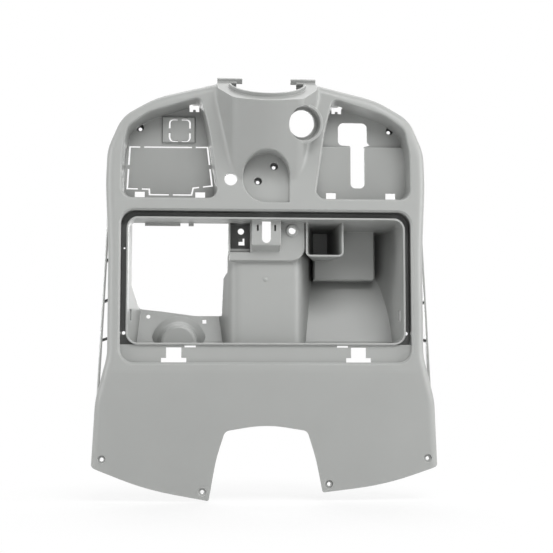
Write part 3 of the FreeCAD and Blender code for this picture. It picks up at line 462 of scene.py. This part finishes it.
def panel_plastic(finish):
    """Matte grey moulded plastic with etched grain, flow clouds, a painted highlight along its edges and
    painted shade in its cavities.
    """
    material = bpy.data.materials.new("panel_plastic")
    material.use_nodes = True
    tree = material.node_tree
    link = tree.links.new
    plastic = tree.nodes["Principled BSDF"]
    grain = add_node(tree, "ShaderNodeGroup", "Mould grain", node_tree=mould_grain_group())
    grain.inputs["Scale"].default_value = 1.0 / finish.grain_size
    grain.inputs["Cloud Scale"].default_value = CLOUD_SCALE
    edge = add_node(tree, "ShaderNodeGroup", "Eased edge", node_tree=eased_edge_group())
    edge.inputs["Radius"].default_value = finish.edge_radius
    colour = Vector(finish.plastic)
    tone = add_node(tree, "ShaderNodeMix", "Cloudy tone", data_type="RGBA")
    tone.inputs["A"].default_value = (*(colour * (1.0 - finish.flow_tone)), 1.0)
    tone.inputs["B"].default_value = (*(colour * (1.0 + finish.flow_tone)), 1.0)
    # Painted highlight: the colour along the eased edges is made lighter
    edge_highlight_mix = add_node(tree, "ShaderNodeMix", "Painted edge highlight", data_type="RGBA")
    edge_highlight_mix.inputs["B"].default_value = (*(colour * PAINTED_EDGE_HIGHLIGHT), 1.0)
    highlight_share = add_node(tree, "ShaderNodeMath", "Highlight share", operation="MULTIPLY")
    highlight_share.inputs[1].default_value = finish.edge_highlight
    # Painted shade: the colour is darkened deep in gutters, slots and pockets, where shade falls
    cavity = add_node(tree, "ShaderNodeGroup", "Cavity", node_tree=cavity_group())
    cavity.inputs["Reach"].default_value = finish.shade_reach
    shade_share = add_node(tree, "ShaderNodeMapRange", "Shade share")
    shade_share.inputs["To Min"].default_value = 1.0 - finish.painted_shade
    shade_share.inputs["To Max"].default_value = 1.0
    painted_shade = add_node(tree, "ShaderNodeMix", "Painted shade in cavities", data_type="RGBA", blend_type="MULTIPLY")
    painted_shade.inputs["Factor"].default_value = 1.0
    shine = add_node(tree, "ShaderNodeMapRange", "Cloudy roughness")
    shine.inputs["To Min"].default_value = finish.roughness - CLOUD_ROUGHNESS
    shine.inputs["To Max"].default_value = finish.roughness + CLOUD_ROUGHNESS
    bump = add_node(tree, "ShaderNodeBump", "Grain bump")
    bump.inputs["Strength"].default_value = GRAIN_STRENGTH
    bump.inputs["Distance"].default_value = finish.grain_depth
    link(grain.outputs["Cloud"], tone.inputs["Factor"])
    link(tone.outputs["Result"], edge_highlight_mix.inputs["A"])
    link(edge.outputs["Edge"], highlight_share.inputs[0])
    link(highlight_share.outputs["Value"], edge_highlight_mix.inputs["Factor"])
    link(cavity.outputs["Open"], shade_share.inputs["Value"])
    link(edge_highlight_mix.outputs["Result"], painted_shade.inputs["A"])
    link(shade_share.outputs["Result"], painted_shade.inputs["B"])
    link(painted_shade.outputs["Result"], plastic.inputs["Base Color"])
    link(grain.outputs["Cloud"], shine.inputs["Value"])
    link(shine.outputs["Result"], plastic.inputs["Roughness"])
    link(grain.outputs["Height"], bump.inputs["Height"])
    link(edge.outputs["Normal"], bump.inputs["Normal"])
    link(bump.outputs["Normal"], plastic.inputs["Normal"])
    return material


class GLOVEBOX_OT_dress_panel(bpy.types.Operator):
    """Give the panel its moulded plastic finish"""

    bl_idname = "glovebox.dress_panel"
    bl_label = "Dress Panel"

    def execute(self, context):
        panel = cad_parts[PANEL]
        panel.data.materials.clear()
        panel.data.materials.append(panel_plastic(context.scene.glovebox_finish))
        return {"FINISHED"}


def moulded_piece(name, bm):
    """Piece from a bmesh that takes the panel's plastic and rides with the panel."""
    mesh = bpy.data.meshes.new(name)
    bm.to_mesh(mesh)
    bm.free()
    mesh.materials.append(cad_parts[PANEL].data.materials[0])
    piece = bpy.data.objects.new(name, mesh)
    bpy.context.scene.collection.objects.link(piece)
    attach(piece, "root")


def eased_block(low, high, ease):
    """Block between two corners with its edges broken."""
    bm = bmesh.new()
    middle = (low + high) / 2.0
    place = Matrix.Translation(middle) @ Matrix.Diagonal((*(high - low), 1.0))
    bmesh.ops.create_cube(bm, size=1.0, matrix=place)
    bmesh.ops.bevel(
        bm,
        geom=bm.edges[:],
        offset=ease,
        segments=EASE_SEGMENTS,
        affect="EDGES",
        profile=EASE_PROFILE,
    )
    return bm


class GLOVEBOX_OT_add_gate_mark(bpy.types.Operator):
    """Add the gate mark: a low disc with a nub, on the front of the column"""

    bl_idname = "glovebox.add_gate_mark"
    bl_label = "Add Gate Mark"

    def execute(self, context):
        details = context.scene.glovebox_details
        forward = Matrix.Rotation(math.radians(90.0), 4, "X")
        place = Matrix.Translation((0.0, COLUMN_FRONT_Y, GATE_Z)) @ forward
        bm = bmesh.new()
        # The back half of the disc and of the nub is sunk in the column
        for radius, height in (
            (details.gate_radius, details.gate_height),
            (details.gate_radius * NUB_RADIUS_SHARE, details.gate_height * NUB_HEIGHT_SHARE),
        ):
            bmesh.ops.create_cone(
                bm,
                cap_ends=True,
                segments=GATE_SEGMENTS,
                radius1=radius,
                radius2=radius * GATE_TAPER,
                depth=height * 2.0,
                matrix=place,
            )
        moulded_piece("gate_mark", bm)
        return {"FINISHED"}


class GLOVEBOX_OT_add_clip_details(bpy.types.Operator):
    """Add the bar and the slot's step in the clip recess, and the hooks in the upper clip holes"""

    bl_idname = "glovebox.add_clip_details"
    bl_label = "Add Clip Details"

    def execute(self, context):
        details = context.scene.glovebox_details
        bar_low = Vector((CLIP_LEFT_X, CLIP_BAR_FRONT_Y, CLIP_BAR_TOP_Z - details.bar_height))
        bar_high = Vector((CLIP_RIGHT_X, CLIP_FLOOR_Y, CLIP_BAR_TOP_Z))
        moulded_piece("clip_bar", eased_block(bar_low, bar_high, details.ease))
        step_low = Vector((SLOT_LEFT_X - WALL, CLIP_FLOOR_Y + SET_BACK, STEP_LOW_Z))
        step_high = Vector((STEP_RIGHT_X, CLIP_FLOOR_Y + WALL - SET_BACK, SLOT_TOP_Z + WALL))
        moulded_piece("clip_step", eased_block(step_low, step_high, details.ease))
        half = details.hook_width / 2.0
        for name, x in (("left_clip_hook", -HOOK_HOLE_X), ("right_clip_hook", HOOK_HOLE_X)):
            low = Vector((x - half, RECESS_FLOOR_Y + SET_BACK, HOOK_HOLE_Z - WALL))
            high = Vector((x + half, RECESS_FLOOR_Y + WALL, HOOK_HOLE_Z + HOOK_HEIGHT))
            moulded_piece(name, eased_block(low, high, details.ease))
        return {"FINISHED"}


def seen_ray(tree):
    """Output that is one for camera, glossy and transmission rays."""
    ray = add_node(tree, "ShaderNodeLightPath", "Ray")
    glossy = add_node(tree, "ShaderNodeMath", "Camera or glossy", operation="MAXIMUM")
    seen = add_node(tree, "ShaderNodeMath", "Or transmission", operation="MAXIMUM")
    tree.links.new(ray.outputs["Is Camera Ray"], glossy.inputs[0])
    tree.links.new(ray.outputs["Is Glossy Ray"], glossy.inputs[1])
    tree.links.new(glossy.outputs["Value"], seen.inputs[0])
    tree.links.new(ray.outputs["Is Transmission Ray"], seen.inputs[1])
    return seen.outputs["Value"]


def floor_material(colour):
    """Pale floor that reads as white to the camera and still takes the shadow."""
    material = bpy.data.materials.new("studio_floor")
    material.use_nodes = True
    tree = material.node_tree
    link = tree.links.new
    pale = tree.nodes["Principled BSDF"]
    pale.inputs["Base Color"].default_value = (*colour, 1.0)
    pale.inputs["Roughness"].default_value = FLOOR_ROUGHNESS
    white = add_node(tree, "ShaderNodeEmission", "White to the camera")
    place = add_node(tree, "ShaderNodeTexCoord", "Floor space")
    reach = add_node(tree, "ShaderNodeVectorMath", "Distance from the panel", operation="LENGTH")
    fade = add_node(tree, "ShaderNodeMapRange", "Shadow fades out", interpolation_type="SMOOTHSTEP")
    fade.inputs["From Min"].default_value = SHADOW_NEAR
    fade.inputs["From Max"].default_value = SHADOW_FAR
    fade.inputs["To Min"].default_value = SHADOW_WHITE
    fade.inputs["To Max"].default_value = 1.0
    share = add_node(tree, "ShaderNodeMath", "Seen share", operation="MULTIPLY")
    mixed = add_node(tree, "ShaderNodeMixShader", "Floor")
    link(place.outputs["Object"], reach.inputs[0])
    link(reach.outputs["Value"], fade.inputs["Value"])
    link(fade.outputs["Result"], share.inputs[1])
    link(seen_ray(tree), share.inputs[0])
    link(share.outputs["Value"], mixed.inputs["Fac"])
    link(pale.outputs["BSDF"], mixed.inputs[1])
    link(white.outputs["Emission"], mixed.inputs[2])
    link(mixed.outputs["Shader"], tree.nodes["Material Output"].inputs["Surface"])
    return material


def studio_world(sky):
    """White background for the camera, and an even soft light for the panel."""
    world = bpy.data.worlds.new("studio")
    world.use_nodes = True
    tree = world.node_tree
    background = tree.nodes["Background"]
    strength = add_node(tree, "ShaderNodeMix", "Seen or lighting", data_type="FLOAT")
    strength.inputs["A"].default_value = sky
    strength.inputs["B"].default_value = 1.0
    background.inputs["Color"].default_value = (1.0, 1.0, 1.0, 1.0)
    tree.links.new(seen_ray(tree), strength.inputs["Factor"])
    tree.links.new(strength.outputs["Result"], background.inputs["Strength"])
    return world


def aim(thing, target):
    """Turn a camera or lamp towards a point."""
    thing.rotation_euler = (target - thing.location).to_track_quat("-Z", "Y").to_euler()


def around(target, azimuth, elevation, distance):
    """Point at a turn to the right, a height angle and a distance from the target."""
    level = distance * math.cos(elevation)
    return target + Vector(
        (level * math.sin(azimuth), -level * math.cos(azimuth), distance * math.sin(elevation))
    )


def soft_lamp(name, place, target, size, power):
    """Soft lamp of a width and a height, turned towards the target."""
    lamp = bpy.data.lights.new(name, "AREA")
    lamp.shape = "RECTANGLE"
    lamp.size, lamp.size_y = size
    lamp.energy = power
    thing = bpy.data.objects.new(name, lamp)
    thing.location = place
    aim(thing, target)
    bpy.context.scene.collection.objects.link(thing)


class GLOVEBOX_OT_set_stage(bpy.types.Operator):
    """Set the floor, the white background, the lamps and the camera"""

    bl_idname = "glovebox.set_stage"
    bl_label = "Set Stage"

    def execute(self, context):
        layout = context.scene.glovebox_studio
        floor_place = (0.0, 0.0, cad_low.z - FLOOR_GAP)
        bpy.ops.mesh.primitive_plane_add(size=FLOOR_SIZE, location=floor_place)
        floor = context.object
        floor.name = "studio_floor"
        floor.data.materials.append(floor_material(layout.floor))
        context.scene.world = studio_world(layout.sky)
        context.scene.view_settings.view_transform = "Standard"
        target = Vector(layout.target)
        lamps = (
            ("key_lamp", layout.key_azimuth, layout.key_elevation, WIDE_LAMP, layout.key),
            ("left_lamp", -layout.side_azimuth, LOW_LAMP_HEIGHT, TALL_LAMP, layout.left),
            ("right_lamp", layout.side_azimuth, LOW_LAMP_HEIGHT, TALL_LAMP, layout.right),
            ("back_lamp", math.pi, LOW_LAMP_HEIGHT, WIDE_LAMP, layout.back),
            ("top_lamp", math.pi, layout.top_elevation, WIDE_LAMP, layout.top),
        )
        for name, azimuth, elevation, size, power in lamps:
            place = around(target, azimuth, elevation, layout.lamp_distance)
            soft_lamp(name, place, target, size, power)
        camera = bpy.data.cameras.new("photo_camera")
        camera.lens_unit = "FOV"
        camera.angle = layout.view_angle
        eye = bpy.data.objects.new("photo_camera", camera)
        eye.location = around(target, layout.azimuth, layout.elevation, layout.distance)
        aim(eye, target)
        context.scene.collection.objects.link(eye)
        context.scene.camera = eye
        return {"FINISHED"}


class GLOVEBOX_PT_sidebar(bpy.types.Panel):
    """Settings and steps of the glove box"""

    bl_idname = "GLOVEBOX_PT_sidebar"
    bl_label = "Glove Box"
    bl_space_type = "VIEW_3D"
    bl_region_type = "UI"
    bl_category = "Glove Box"

    def draw(self, context):
        for settings, steps in (
            (context.scene.glovebox_finish, (GLOVEBOX_OT_dress_panel,)),
            (context.scene.glovebox_details, (GLOVEBOX_OT_add_gate_mark, GLOVEBOX_OT_add_clip_details)),
            (context.scene.glovebox_studio, (GLOVEBOX_OT_set_stage,)),
        ):
            for name in settings.bl_rna.properties.keys():
                if name not in ("rna_type", "name"):
                    self.layout.prop(settings, name)
            for step in steps:
                self.layout.operator(step.bl_idname)


CLASSES = (
    PanelFinish,
    MouldDetails,
    StudioLayout,
    GLOVEBOX_OT_dress_panel,
    GLOVEBOX_OT_add_gate_mark,
    GLOVEBOX_OT_add_clip_details,
    GLOVEBOX_OT_set_stage,
    GLOVEBOX_PT_sidebar,
)


def register():
    for cls in CLASSES:
        bpy.utils.register_class(cls)
    bpy.types.Scene.glovebox_finish = PointerProperty(type=PanelFinish)
    bpy.types.Scene.glovebox_details = PointerProperty(type=MouldDetails)
    bpy.types.Scene.glovebox_studio = PointerProperty(type=StudioLayout)


def unregister():
    del bpy.types.Scene.glovebox_studio
    del bpy.types.Scene.glovebox_details
    del bpy.types.Scene.glovebox_finish
    for cls in reversed(CLASSES):
        bpy.utils.unregister_class(cls)


def main():
    register()
    bpy.ops.glovebox.dress_panel()
    bpy.ops.glovebox.add_gate_mark()
    bpy.ops.glovebox.add_clip_details()
    bpy.ops.glovebox.set_stage()


if __name__ == "__main__":
    main()
